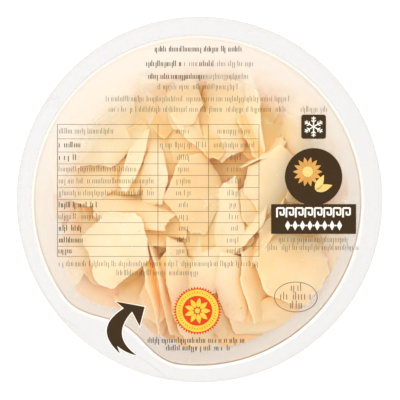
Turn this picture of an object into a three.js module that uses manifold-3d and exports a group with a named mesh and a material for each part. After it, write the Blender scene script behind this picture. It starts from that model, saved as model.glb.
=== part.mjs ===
// Round clear tub of hard cheese shavings, sealed with a peel film.
// Millimetres, +Z up. The origin is under the middle of the round flange, on the surface that the tub
// stands on, and +Y points away from someone who holds the peel corner at their lower left.

import * as THREE from 'three';
import { mergeVertices } from 'three/addons/utils/BufferGeometryUtils.js';
import Module from 'manifold-3d';

const wasm = await Module();
wasm.setup();

// Driving dimensions of the pack
const packDiameter = 130;
const packHeight = 28;
const filmThickness = 0.2;
const sealGap = 0.1; // between the film's solid and the flange's
const wall = 0.7; // of the deep-drawn tub
const flangeTop = packHeight - filmThickness - sealGap;
const flangeRadius = packDiameter / 2;
const roundSides = 72;
const arcSteps = 3; // facets on each bend of the sheet

// Cavity: a draughted round bowl, a little off the flange's centre, with a wave where the peel corner is
const mouthRadius = 58;
const cavityShift = { x: -0.7, y: -0.85 };
const draft = THREE.MathUtils.degToRad(15);
const mouthBend = 1.5; // radius where the wall turns out into the flange
const baseBend = 4; // radius where the floor turns up into the wall
const floorRise = 1.4; // the floor's middle panel is pushed up, and leaves a foot ring
const panelRadius = 35;
const footInner = 38;
const peelAngle = THREE.MathUtils.degToRad(239.5);
const peelHalfWidth = THREE.MathUtils.degToRad(24);
const peelDepth = 7.1;
const peelGather = 0.4; // how far the facets gather at the peel corner, in radians

// Heap of shavings
const chipThickness = 1.6;
const chipSides = 8;
const chipCorner = 3.2; // power of a chip's outline: 2 is an ellipse, more is squarer
const chipContact = 3; // least volume that a chip shares with what it rests on
const clearance = 0.35; // between the heap and the tub or film
const pressGap = 0.1; // a pressed chip's own gap to that clearance
const chipRing = 0.6; // where a chip's inner ring of points is, as a share of its reach

// The middle of the heap, under its chips
const coreBottom = 3.6;
const coreTop = 12.5;
const coreFloor = 34; // radius of its flat underside
const coreShoulder = 44; // radius where its top starts to fall
const coreReach = 60; // past the wall, so that its side is pressed in along the wall
const coreRim = { low: 5.5, high: 11.5 };
const coreGap = 1.2; // its own gap to the clearance
const coreSides = 30;

// Chips that aren't set one by one: how many, and the least and most of each size
const wallChips = {
  total: 14,
  height: [9, 16],
  inset: 0.5, // of a chip's middle from the wall
  length: [22, 30],
  width: [12, 17],
  lean: 75,
  rise: [-12, 12],
  taper: [-0.1, 0.1],
  swing: [-7, 7], // out of their even spacing, in degrees
};
const floorChips = { total: 8, radius: 40, height: 4.4, slope: [-5, 5] };
const innerChips = { total: 8, radius: 44, height: 15.5, slope: [-13, 13] };
const looseShape = { length: [22, 30], width: [14, 20], curl: 1.2, cup: -0.8, taper: 0.1 };
const goldenTurn = 222.5; // degrees from one loose chip to the next

// A closed geometry with +Z up, turned about its own axis from [radius, height] pairs.
function turned(profile, sides) {
  const points = profile.map(([radius, height]) => new THREE.Vector2(radius, height));
  const geometry = new THREE.LatheGeometry(points, sides);
  geometry.rotateX(Math.PI / 2);
  geometry.deleteAttribute('normal');
  geometry.deleteAttribute('uv');
  return mergeVertices(geometry, 1e-4);
}

// Moves every vertex by a rule that gets and changes a Vector3.
function moved(geometry, rule) {
  const position = geometry.getAttribute('position');
  const point = new THREE.Vector3();
  for (let index = 0; index < position.count; index += 1) {
    point.fromBufferAttribute(position, index);
    rule(point);
    position.setXYZ(index, point.x, point.y, point.z);
  }
  return geometry;
}

// How far the cavity's outline steps in towards its centre at an angle.
function peelStep(angle) {
  const turn = THREE.MathUtils.euclideanModulo(angle - peelAngle + Math.PI, 2 * Math.PI) - Math.PI;
  if (Math.abs(turn) > peelHalfWidth) {
    return 0;
  }
  return peelDepth * 0.5 * (1 + Math.cos((Math.PI * turn) / peelHalfWidth));
}

// The wall is a straight line between two arcs: the base bend's centre is inside the bowl, the mouth
// bend's centre is outside it.
const mouthCentre = { radius: mouthRadius + mouthBend / 2, height: flangeTop - mouthBend };
const baseCentre = { height: wall + baseBend };
baseCentre.radius = mouthCentre.radius
  - (baseBend + mouthBend + (mouthCentre.height - baseCentre.height) * Math.sin(draft)) / Math.cos(draft);

// One side of the tub's sheet from the middle to the flange's edge. Skin 0 is the side in the cavity, and
// skin equal to the wall is the outside.
function sheetSide(skin) {
  const floor = wall - skin;
  const side = [[0, floorRise + floor], [panelRadius, floorRise + floor], [footInner, floor]];
  for (let step = 0; step <= arcSteps; step += 1) {
    const angle = THREE.MathUtils.lerp(-Math.PI / 2, -draft, step / arcSteps);
    const reach = baseBend + skin;
    side.push([baseCentre.radius + reach * Math.cos(angle), baseCentre.height + reach * Math.sin(angle)]);
  }
  for (let step = 0; step <= arcSteps; step += 1) {
    const angle = THREE.MathUtils.lerp(Math.PI - draft, Math.PI / 2, step / arcSteps);
    const reach = mouthBend - skin;
    side.push([mouthCentre.radius + reach * Math.cos(angle), mouthCentre.height + reach * Math.sin(angle)]);
  }
  side.push([flangeRadius, flangeTop - skin]);
  return side;
}

// The cavity and the floor's panel follow the shifted, waved outline, and the flange's edge stays round.
// The facets lie closer together at the peel corner.
function followPeel(point) {
  const radius = Math.hypot(point.x, point.y);
  const even = Math.atan2(point.y, point.x);
  const angle = even - peelGather * Math.sin(even - peelAngle);
  const mouthEnd = mouthRadius + mouthBend;
  const share = 1 - THREE.MathUtils.clamp((radius - mouthEnd) / (flangeRadius - mouthEnd), 0, 1);
  const waved = Math.min(1, radius / panelRadius);
  const reach = radius - peelStep(angle) * share * waved;
  point.x = reach * Math.cos(angle) + cavityShift.x * share;
  point.y = reach * Math.sin(angle) + cavityShift.y * share;
}

function makeTub() {
  const profile = [...sheetSide(wall), ...sheetSide(0).reverse()];
  return moved(turned(profile, roundSides), followPeel);
}

// The space in the cavity that the heap may fill, a clearance away from the tub and the film.
function makeRoom() {
  const side = sheetSide(-clearance).filter(([, height]) => height < flangeTop - mouthBend / 2);
  const [lastRadius] = side[side.length - 1];
  const top = flangeTop - clearance;
  return moved(turned([...side, [lastRadius, top], [0, top]], roundSides), followPeel);
}

function makeFilm() {
  const bottom = packHeight - filmThickness;
  const profile = [[0, bottom], [flangeRadius, bottom], [flangeRadius, packHeight], [0, packHeight]];
  return turned(profile, roundSides);
}

// Radius of the cavity's wall at a height.
function cavityRadius(height) {
  if (height < baseCentre.height) {
    const below = Math.min(baseBend, baseCentre.height - height);
    return baseCentre.radius + Math.sqrt(baseBend ** 2 - below ** 2);
  }
  return baseCentre.radius + baseBend / Math.cos(draft) + (height - baseCentre.height) * Math.tan(draft);
}

// Presses a point into the space that is at least a margin away from the wall.
function pressedToWall(point, margin) {
  const x = point.x - cavityShift.x;
  const y = point.y - cavityShift.y;
  const radius = Math.hypot(x, y);
  const limit = cavityRadius(point.z) - peelStep(Math.atan2(y, x)) - margin / Math.cos(draft);
  const share = radius > limit ? limit / radius : 1;
  return new THREE.Vector3(cavityShift.x + x * share, cavityShift.y + y * share, point.z);
}

// The same for the floor and the film too.
function pressedIn(point, margin) {
  const low = wall + floorRise + margin;
  const level = new THREE.Vector3(point.x, point.y, THREE.MathUtils.clamp(point.z, low, flangeTop - margin));
  return pressedToWall(level, margin);
}

// How ragged a chip's edge is at an angle: 1 is the smooth outline.
function ragged(angle, number) {
  return 1 + 0.07 * Math.sin(3 * angle + number * 1.7) + 0.05 * Math.sin(5 * angle + number * 2.9)
    + 0.04 * Math.sin(8 * angle + number * 4.3);
}

// A point of a chip in the chip's own frame, with its length along x. Ring goes from 0 in the middle to 1
// at the edge, and side is the height above the middle of its thickness.
function chipPoint(chip, number, angle, ring, side) {
  const cosine = Math.cos(angle);
  const sine = Math.sin(angle);
  const squared = (Math.abs(cosine) ** chipCorner + Math.abs(sine) ** chipCorner) ** (1 / chipCorner);
  const reach = (ring * ragged(angle, number)) / squared;
  const along = reach * cosine;
  const across = reach * sine * (1 - chip.taper * along);
  const bent = chip.curl * (along ** 2 - 0.33) + chip.cup * (across ** 2 - 0.33);
  return new THREE.Vector3((along * chip.length) / 2, (across * chip.width) / 2, bent + side);
}

function chipPlace(chip) {
  const lean = THREE.MathUtils.degToRad(chip.lean);
  const rise = THREE.MathUtils.degToRad(-chip.rise);
  const turn = THREE.MathUtils.degToRad(chip.turn);
  const place = new THREE.Matrix4().makeRotationFromEuler(new THREE.Euler(lean, rise, turn, 'ZYX'));
  return place.setPosition(chip.x, chip.y, chip.z);
}

// One shaving: a thin plate with a ragged outline, curled along its length and cupped across it. Both of
// its faces have the same points, so its thickness is even.
function makeChip(chip, number) {
  const half = chipThickness / 2;
  const profile = [[0, -half], [chipRing, -half], [1, -half], [1, half], [chipRing, half], [0, half]];
  const plate = turned(profile, chipSides);
  const place = chipPlace(chip);
  return moved(plate, (point) => {
    const angle = Math.atan2(point.y, point.x);
    const share = Math.hypot(point.x, point.y);
    const middle = chipPoint(chip, number, angle, share, 0).applyMatrix4(place);
    const face = chipPoint(chip, number, angle, share, point.z).applyMatrix4(place);
    const pressed = pressedIn(middle, clearance + pressGap + half);
    point.copy(face).add(pressed).sub(middle);
  });
}

// The chips that show through the film. Each row is one chip: where its middle is (x, y, z), the turn of
// its length, its length and width, its lean about its length, the rise of its far end, its curl, cup and
// taper. A chip with a large lean stands on its edge.
const topChipRows = [
  // Upper left
  [-34.5, 26.5, 20, 80, 22, 19.5, 4, 2, 0.5, -4, 0],
  [-36.5, 9, 18.5, 10, 19, 16.5, -4, 2, 0.6, 1, 0.1],
  [-22, 14, 21.5, 74, 24, 6, -18, -4, 1, 0.5, 0.2],
  [-18, 8.5, 20, 82, 21, 11.5, 6, 3, -1, 1, 0.2],
  [-17.5, 23, 19, 85, 13, 6, 8, 0, 0, 0.5, 0.1],
  [-10.5, 24.5, 18.5, 70, 17, 12, -22, 4, 0.5, -1.5, 0.3],
  [-3.5, 25, 19.5, 130, 19, 7, 40, 0, 0.8, 0.5, 0.1],
  [-4.5, 33, 21, 100, 13, 12, 8, 4, 0.5, -1, 0],
  [-23.5, 36, 18, 15, 23, 11, 5, 0, 1, -1, 0.1],
  [-5, 44, 16.5, 5, 19, 9.5, 10, 0, 0.5, 0, 0],
  // Upper right
  [10, 29.5, 21.5, 95, 25, 16, 12, 5, 0.8, -2, -0.1],
  [19.5, 34, 22, 100, 31, 7, -48, 0, -1.5, 0, 0],
  [25.5, 31.5, 19, 95, 24, 12, 10, -4, 0.5, 1.5, 0.1],
  [25.5, 23.5, 20, 100, 11, 5.5, 14, 0, 0.5, 0, 0],
  [21, 15.5, 18, 26, 23, 9, 72, 3, 0.5, 0, 0],
  [37, 28, 20.5, 75, 22, 15, -10, 3, 1, -4, 0],
  [29, 8.5, 21.5, 50, 22, 16, 8, 6, 0.5, -1.5, 0],
  [42.5, 3.5, 19, 80, 22, 18.5, 0, 0, 0.5, -1.5, 0],
  [19, -6.5, 20, 56, 21, 7, -48, 3, 1, 0, 0.1],
  [22.5, -8, 17, 64, 24, 9, -56, 0, 0.5, 0.5, 0],
  // Middle
  [-2.5, 2, 22, 98, 24, 16.5, 10, 6, -1, -2, -0.1],
  [-13, -2.5, 19, 105, 17, 8, -34, -4, 1, 0.5, 0.1],
  [10, -6, 20, 92, 22, 8, 14, 3, 0.5, -0.5, 0.1],
  [-1, -16, 16.5, 90, 12, 7, -10, 0, 0, 0, 0],
  [6, -15.5, 17, 85, 12, 8, 10, 0, 0, -0.5, 0],
  // Lower left
  [-26.5, -4.5, 20.5, -10, 24, 8.5, -16, 0, 1, -1.5, 0],
  [-18.5, -13, 16.5, -32, 20, 9, -46, -3, 1, 0, 0.1],
  [-30, -18.5, 23, 70, 26, 20, 3, -2, 0.4, 0.4, -0.1],
  [-46, -15.5, 16, 70, 18, 12.5, -20, -4, 0.5, 1, 0.1],
  [-34.5, -32.5, 16.5, -18, 22, 8.5, -12, 0, 0.5, 0.5, 0],
  [-15.5, -30.5, 18, 100, 30, 9, 68, 0, -2.5, 0, 0],
  [-11.5, -31, 17.5, 104, 28, 9, 66, 0, -2, 0, 0],
  [-7.5, -27, 20, 96, 18, 7, 36, 0, -1, -1, 0],
  [-21.5, -36.5, 17, -12, 16, 7, -50, 0, 1.5, 0, 0],
  // Lower right
  [4.5, -25.5, 20.5, 40, 17, 10, -12, 2, 0.3, -0.5, 0.2],
  [12.5, -31.5, 22, 93, 18, 9, 10, 4, -0.5, -1.5, 0],
  [19.5, -31, 20.5, 100, 19, 7, 44, 3, -0.5, 0, 0],
  [33.5, -24, 21.5, 20, 26, 21, -6, -10, 0.5, -0.8, 0.1],
  [25.5, -10, 20.5, 30, 9, 5, 10, 0, 0, 0, 0],
  [47, -16.5, 17.5, 75, 18, 11, -8, 0, 0.5, 0.5, 0],
  [29.5, -41.5, 17, 14, 35, 8.5, 12, -2, 1, 0, 0.1],
  [9.5, -42, 18.5, 60, 11, 8, 10, 0, 0, -0.5, 0],
  [-2.5, -40.5, 18.5, 100, 22, 11, 14, 0, -1, -1, 0],
  [10.5, -48, 14, -6, 22, 9, -10, 0, 0.5, 0, 0],
];

function chipsOnTop() {
  const chips = topChipRows.map(([x, y, z, turn, length, width, lean, rise, curl, cup, taper]) => (
    { x, y, z, turn, length, width, lean, rise, curl, cup, taper }
  ));
  return chips.sort((one, other) => one.z - other.z);
}

// A number from a range, spread evenly over it as the count goes up.
function spread([least, most], count, step) {
  return least + (most - least) * ((count * step) % 1);
}

// A point at a radius and an azimuth in degrees.
function around(radius, azimuth) {
  const angle = THREE.MathUtils.degToRad(azimuth);
  return { x: radius * Math.cos(angle), y: radius * Math.sin(angle) };
}

// Chips that stand against the wall, all the way round.
function chipsOnWall() {
  const chips = [];
  for (let count = 0; count < wallChips.total; count += 1) {
    const azimuth = 360 * (count / wallChips.total) + spread(wallChips.swing, count, 0.618);
    const height = spread(wallChips.height, count, 0.38);
    chips.push({
      ...around(cavityRadius(height) - wallChips.inset, azimuth),
      z: height,
      turn: azimuth + 90,
      length: spread(wallChips.length, count, 0.71),
      width: spread(wallChips.width, count, 0.27),
      lean: wallChips.lean,
      rise: spread(wallChips.rise, count, 0.53),
      curl: 0,
      cup: 0,
      taper: spread(wallChips.taper, count, 0.44),
    });
  }
  return chips;
}

// Chips that lie loosely at every turn, spread over a disc by the golden angle.
function chipsLoose({ total, radius, height, slope }) {
  const chips = [];
  for (let count = 0; count < total; count += 1) {
    chips.push({
      ...looseShape,
      ...around(radius * Math.sqrt((count + 0.4) / total), goldenTurn * count),
      z: height,
      turn: spread([0, 360], count, 0.618),
      length: spread(looseShape.length, count, 0.71),
      width: spread(looseShape.width, count, 0.27),
      lean: spread(slope, count, 0.38),
      rise: spread(slope, count, 0.53),
    });
  }
  return chips;
}

function makeCore() {
  const profile = [
    [0, coreBottom],
    [coreFloor, coreBottom],
    [coreReach, coreRim.low],
    [coreReach, coreRim.high],
    [coreShoulder, coreTop],
    [0, coreTop],
  ];
  return moved(turned(profile, coreSides), (point) => {
    point.copy(pressedIn(point, clearance + coreGap));
  });
}

function solidOf(geometry) {
  return new wasm.Manifold(new wasm.Mesh({
    numProp: 3,
    vertProperties: Float32Array.from(geometry.getAttribute('position').array),
    triVerts: Uint32Array.from(geometry.getIndex().array),
  }));
}

function geometryOf(solid) {
  const mesh = solid.getMesh();
  const geometry = new THREE.BufferGeometry();
  geometry.setAttribute('position', new THREE.BufferAttribute(mesh.vertProperties, 3));
  geometry.setIndex(new THREE.BufferAttribute(mesh.triVerts, 1));
  return geometry;
}

// Fuses a chip on to the heap, and first lowers one that would float until it presses into the heap.
function fused(heap, chip, number) {
  const lowering = 0.5;
  let solid = solidOf(makeChip(chip, number));
  let fall = 0;
  while (heap.intersect(solid).volume() < chipContact && chip.z - fall > coreTop) {
    fall += lowering;
    solid = solidOf(makeChip({ ...chip, z: chip.z - fall }, number));
  }
  return heap.add(solid);
}

// The heap is its core with the chips fused on, as one body. A sealed hollow or a loose scrap is dropped.
function makeShavings() {
  const chips = [
    ...chipsLoose(floorChips),
    ...chipsOnWall(),
    ...chipsLoose(innerChips),
    ...chipsOnTop(),
  ];
  const heap = chips.reduce(fused, solidOf(makeCore())).intersect(solidOf(makeRoom()));
  const bodies = heap.decompose().filter((body) => body.volume() > 0);
  bodies.sort((one, other) => other.volume() - one.volume());
  return geometryOf(bodies[0]);
}

function makeMesh(name, geometry, colour, roughness, opacity) {
  const material = new THREE.MeshStandardMaterial({
    color: colour,
    roughness,
    metalness: 0,
    transparent: opacity < 1,
    opacity,
  });
  const mesh = new THREE.Mesh(geometry, material);
  mesh.name = name;
  return mesh;
}

const pack = new THREE.Group();
pack.add(makeMesh('tub', makeTub(), '#f2f4f4', 0.15, 0.3));
pack.add(makeMesh('film', makeFilm(), '#f6f6f4', 0.2, 0.25));
pack.add(makeMesh('shavings', makeShavings(), '#f3d7a6', 0.55, 1));

export default pack;
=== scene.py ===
# Looks of a round clear tub of hard cheese shavings under a printed peel film.
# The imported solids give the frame, in metres and +Z up. Sizes here are in millimetres, as a maker's
# drawing has them, and each mesh is brought to metres when it is made.

import math

import bpy
import numpy as np
from mathutils import Matrix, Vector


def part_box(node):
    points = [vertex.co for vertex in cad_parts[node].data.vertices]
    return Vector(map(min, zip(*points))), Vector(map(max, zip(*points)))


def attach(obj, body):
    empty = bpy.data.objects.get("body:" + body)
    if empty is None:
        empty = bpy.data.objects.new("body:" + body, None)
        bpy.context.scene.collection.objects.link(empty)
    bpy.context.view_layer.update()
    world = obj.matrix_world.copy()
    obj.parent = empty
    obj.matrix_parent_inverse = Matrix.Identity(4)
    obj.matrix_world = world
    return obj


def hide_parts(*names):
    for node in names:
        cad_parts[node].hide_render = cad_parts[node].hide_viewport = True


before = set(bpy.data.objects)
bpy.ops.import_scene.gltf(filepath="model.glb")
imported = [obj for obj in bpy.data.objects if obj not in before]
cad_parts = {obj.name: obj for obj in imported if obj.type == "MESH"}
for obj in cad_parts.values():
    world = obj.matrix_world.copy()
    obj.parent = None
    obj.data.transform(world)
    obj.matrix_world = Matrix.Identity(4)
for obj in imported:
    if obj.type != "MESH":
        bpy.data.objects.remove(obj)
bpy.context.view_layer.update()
millimetre = 0.001
scene = bpy.context.scene

# Camera
# The photograph looks straight down on the film from about 0.7 m. Its 400 pixels span 142.1 mm at the
# film, and the pack's middle is a hair to the left of the picture's and above it.
camera_distance = 0.70
picture_span = 0.1421
picture_shift = (0.00014, -0.00014)
film_box_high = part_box("film")[1]
camera_data = bpy.data.cameras.new("camera")
camera_data.sensor_width = 36
camera_data.lens = camera_data.sensor_width * camera_distance / picture_span
camera = bpy.data.objects.new("camera", camera_data)
camera.location = (*picture_shift, film_box_high.z + camera_distance)
scene.collection.objects.link(camera)
scene.camera = camera
scene.view_settings.view_transform = "Standard"


# Studio
# A table of lit white acrylic, as for a cut-out picture, so the clear plastic stays bright. One large soft
# lamp stands at the upper left, and a white room, a hair warm, fills the shadows.
room_colour = "#fff6ea"
room_strength = 1.02
lamp_place = (-0.55, 0.55, 0.80)
lamp_side = 1.4
lamp_power = 4.8
table_side = 4.0
table_glow = 0.99


def linear(hex_colour):
    """An sRGB hex colour as linear red, green, blue and an alpha of 1."""
    parts = [int(hex_colour[at:at + 2], 16) / 255 for at in (1, 3, 5)]
    curved = [part / 12.92 if part <= 0.04045 else ((part + 0.055) / 1.055) ** 2.4 for part in parts]
    return (*curved, 1.0)


def add_node(tree, kind, inputs=None, **settings):
    """Adds a node. An input is a plain value, or another node's output socket, which is linked."""
    node = tree.nodes.new(kind)
    for name, value in settings.items():
        setattr(node, name, value)
    for key, value in (inputs or {}).items():
        if isinstance(value, bpy.types.NodeSocket):
            tree.links.new(value, node.inputs[key])
        else:
            node.inputs[key].default_value = value
    return node


def start_material(name, inputs):
    """A material with one Principled shader. Returns the material, its tree and the shader."""
    material = bpy.data.materials.new(name)
    material.use_nodes = True
    tree = material.node_tree
    tree.nodes.clear()
    shader = add_node(tree, "ShaderNodeBsdfPrincipled", inputs)
    add_node(tree, "ShaderNodeOutputMaterial", {"Surface": shader.outputs["BSDF"]})
    return material, tree, shader


room = bpy.data.worlds.new("white_room")
room.use_nodes = True
room.node_tree.nodes["Background"].inputs["Color"].default_value = linear(room_colour)
room.node_tree.nodes["Background"].inputs["Strength"].default_value = room_strength
scene.world = room

lamp_data = bpy.data.lights.new("soft_lamp", "AREA")
lamp_data.size = lamp_side
lamp_data.energy = lamp_power
lamp = bpy.data.objects.new("soft_lamp", lamp_data)
lamp.location = lamp_place
lamp.rotation_euler = lamp.location.to_track_quat("Z", "Y").to_euler()
scene.collection.objects.link(lamp)

# Light passes many sheets and flakes before it reaches the eye
scene.cycles.max_bounces = 24
scene.cycles.diffuse_bounces = 16
scene.cycles.transparent_max_bounces = 16

table_mesh = bpy.data.meshes.new("table")
table_corners = [(x * table_side / 2, y * table_side / 2, 0) for x, y in ((-1, -1), (1, -1), (1, 1), (-1, 1))]
table_mesh.from_pydata(table_corners, [], [(0, 1, 2, 3)])
table = bpy.data.objects.new("table", table_mesh)
scene.collection.objects.link(table)
# White acrylic lit from beneath: it is white by its own glow, and the pack throws almost no shadow on it
lit_acrylic, _, _ = start_material("lit_white_acrylic", {
    "Base Color": linear("#505050"),
    "Roughness": 0.6,
    "Emission Color": linear("#ffffff"),
    "Emission Strength": table_glow,
})
table_mesh.materials.append(lit_acrylic)


# Tub
# A clear tub, deep-drawn from one hot sheet of PET over a bowl-shaped tool. The wall leans out so that tubs
# nest, the floor's middle is pushed up for stiffness, and the cavity steps in where the peel corner is.
tub_low, tub_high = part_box("tub")
flange_radius = (tub_high.x - tub_low.x) / 2 / millimetre
flange_top = tub_high.z / millimetre
wall = 0.7
mouth_radius = 58
mouth_bend = 1.5
cavity_shift = np.array((-0.7, -0.85))
draft = math.radians(15)
base_bend = 4
floor_rise = 1.4
panel_radius = 35
panel_rings = (0, 12, 24, panel_radius - 1)
foot_inner = 38
foot_rings = 7
base_steps = 12
mouth_steps = 10
flange_middle = 62
edge_round = 0.1
peel_angle = math.radians(239.5)
peel_half_width = math.radians(24)
peel_depth = 7.1
mouth_centre = (mouth_radius + mouth_bend / 2, flange_top - mouth_bend)
base_centre_height = wall + base_bend
wall_depth = mouth_centre[1] - base_centre_height
wall_offset = (base_bend + mouth_bend + wall_depth * math.sin(draft)) / math.cos(draft)
base_centre = (mouth_centre[0] - wall_offset, base_centre_height)
tub_sides = 288


def arc(centre, radius, start, end, steps):
    """Points on an arc between two angles."""
    angles = np.linspace(start, end, steps + 1)
    return [(centre[0] + radius * math.cos(angle), centre[1] + radius * math.sin(angle)) for angle in angles]


def peel_step(angle):
    """How far the cavity steps in towards its middle at an angle."""
    turn = np.mod(np.asarray(angle) - peel_angle + math.pi, 2 * math.pi) - math.pi
    wave = peel_depth * 0.5 * (1 + np.cos(math.pi * turn / peel_half_width))
    return np.where(np.abs(turn) > peel_half_width, 0, wave)


def sheet_side(skin):
    """Radius and height of one side of the sheet, from the middle out. Skin 0 faces the cheese."""
    floor = wall - skin
    side = [(radius, floor_rise + floor) for radius in panel_rings]
    for share in np.linspace(0, 1, foot_rings):
        ramp = share * share * (3 - 2 * share)
        side.append((panel_radius + (foot_inner - panel_radius) * share, floor + floor_rise * (1 - ramp)))
    side += arc(base_centre, base_bend + skin, -math.pi / 2, -draft, base_steps)
    side += arc(mouth_centre, mouth_bend - skin, math.pi - draft, math.pi / 2, mouth_steps)
    return side + [(radius, flange_top - skin) for radius in (flange_middle, flange_radius - edge_round)]


def shell_faces(stations, sides):
    """Faces of a closed shell of rings, with a pole for its first station and one for its last."""
    first, last = 0, 1 + (stations - 2) * sides
    faces = []
    for side in range(sides):
        beside = (side + 1) % sides
        faces.append((first, 1 + beside, 1 + side))
        faces.append((last, last - sides + side, last - sides + beside))
    for ring in range(stations - 3):
        start = 1 + ring * sides
        for side in range(sides):
            beside = (side + 1) % sides
            faces.append((start + side, start + beside, start + sides + beside, start + sides + side))
    return faces


def turned(profile, sides):
    """Points of a shell turned from radius and height pairs, whose ends are on the axis."""
    angles = np.linspace(0, 2 * math.pi, sides, endpoint=False)
    across, up = np.cos(angles), np.sin(angles)
    rings = [np.array([(0, 0, profile[0][1])])]
    for radius, height in profile[1:-1]:
        rings.append(np.stack([radius * across, radius * up, np.full(sides, height)], axis=1))
    rings.append(np.array([(0, 0, profile[-1][1])]))
    return np.concatenate(rings)


def follow_peel(points):
    """Moves the cavity and the floor's panel to the shifted, waved outline. The flange's edge stays round."""
    radius = np.hypot(points[:, 0], points[:, 1])
    angle = np.arctan2(points[:, 1], points[:, 0])
    mouth_end = mouth_radius + mouth_bend
    share = 1 - np.clip((radius - mouth_end) / (flange_radius - mouth_end), 0, 1)
    reach = radius - peel_step(angle) * share * np.minimum(1, radius / panel_radius)
    flat = np.stack([reach * np.cos(angle), reach * np.sin(angle)], axis=1) + cavity_shift * share[:, None]
    return np.column_stack([flat, points[:, 2]])


def make_piece(name, parts, materials, smooth=True):
    """An object of several (points, faces, material number) parts in millimetres, riding on the pack."""
    points = np.concatenate([np.asarray(part[0], float) for part in parts]) * millimetre
    faces, numbers, start = [], [], 0
    for part_points, part_faces, number in parts:
        faces += [tuple(start + corner for corner in face) for face in part_faces]
        numbers += [number] * len(part_faces)
        start += len(part_points)
    mesh = bpy.data.meshes.new(name)
    mesh.from_pydata(points.tolist(), [], faces)
    for material in materials:
        mesh.materials.append(material)
    mesh.polygons.foreach_set("material_index", numbers)
    mesh.polygons.foreach_set("use_smooth", [smooth] * len(faces))
    mesh.update()
    piece = bpy.data.objects.new(name, mesh)
    scene.collection.objects.link(piece)
    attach(piece, "root")
    return piece


def make_uneven(tree, shader, size, detail, strength, depth):
    """Soft unevenness of a sheet: waves of a size and a depth in millimetres, as bump."""
    place = add_node(tree, "ShaderNodeTexCoord")
    waves = add_node(tree, "ShaderNodeTexNoise", {
        "Vector": place.outputs["Object"],
        "Scale": 1 / (size * millimetre),
        "Detail": detail,
    })
    bump = add_node(tree, "ShaderNodeBump", {
        "Strength": strength,
        "Distance": depth * millimetre,
        "Height": waves.outputs["Fac"],
    })
    tree.links.new(bump.outputs["Normal"], shader.inputs["Normal"])


def clear_pet():
    """Deep-drawn clear PET: glassy, and denser where the eye looks along the sheet than through it."""
    # Painted reflection and shade: the sheet's tan grey stands for the cheese seen in the wall and the shade
    # in the band round the heap
    material, tree, shader = start_material("deep_drawn_clear_pet", {
        "Base Color": linear("#c2baa9"),
        "Roughness": 0.12,
        "IOR": 1.57,
    })
    facing = add_node(tree, "ShaderNodeLayerWeight", {"Blend": 0.5})
    veil = add_node(tree, "ShaderNodeMapRange", {
        "Value": facing.outputs["Facing"],
        "From Min": 0.02,
        "From Max": 0.9,
        "To Min": 0.03,
        "To Max": 0.55,
    })
    tree.links.new(veil.outputs["Result"], shader.inputs["Alpha"])
    make_uneven(tree, shader, size=9, detail=2.0, strength=0.12, depth=0.5)
    return material


tub_edge = [(flange_radius, flange_top - wall + edge_round), (flange_radius, flange_top - edge_round)]
tub_profile = sheet_side(wall) + tub_edge + sheet_side(0)[::-1]
tub_points = follow_peel(turned(tub_profile, tub_sides))
tub_faces = [face[::-1] for face in shell_faces(len(tub_profile), tub_sides)]
tub = make_piece("tub_clear", [(tub_points, tub_faces, 0)], [clear_pet()])
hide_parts("tub")


# Shavings
# Aged hard cheese, planed off a block in sheets about a millimetre thick that curl and break at their
# edges. They fall into the tub at every turn, and the film holds the uppermost ones down.
chip_thickness = 0.8
chip_thinning = 0.35
chip_unevenness = 0.14
chip_breaks = 6
chip_corner = 34
chip_twist = 2.2
chip_droop = 0.4
chip_ripple = 0.34
chip_fine_ripple = 0.05
chip_torn_least = 0.2
sharp_edge_angle = math.radians(50)
pattern_step = 40
wall_gap = 0.12
wall_chips = 28
wall_chip_inset = 3
wall_chip_lean = -52
floor_chips = 16
floor_height = 3.6
rim_heights = (7, 10, 13)
rim_chips = 11
inner_heights = (15.5, 17.5, 19)
inner_chips = 20
golden_angle = 222.5

# Height, number in half a turn and drift from chip to chip of the waves that roughen a torn side
chip_tears = ((0.045, 3.5, 0.7), (0.030, 7, 0.4), (0.020, 14.5, 1))

# Places in which the inner chips lie lower, so that gaps show between the upper ones
hollows = ((14.4, 9.8), (-10, -14), (-39, -4), (12, -21), (10, -45))
hollow_reach = 17
hollow_depth = 5

# Rings from a chip's middle to its edge, and points round it, for the chips that show and for the others
top_rings = (0, 0.22, 0.44, 0.64, 0.82, 0.96)
top_sides = 90
low_rings = (0, 0.5, 0.95)
low_sides = 28

# The rows below give the size of what shows of a chip. It goes on beneath its neighbours, most of all if it
# lies deep.
deep_level = 19.8
deep_growth = 1.22
high_growth = 1.08

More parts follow.
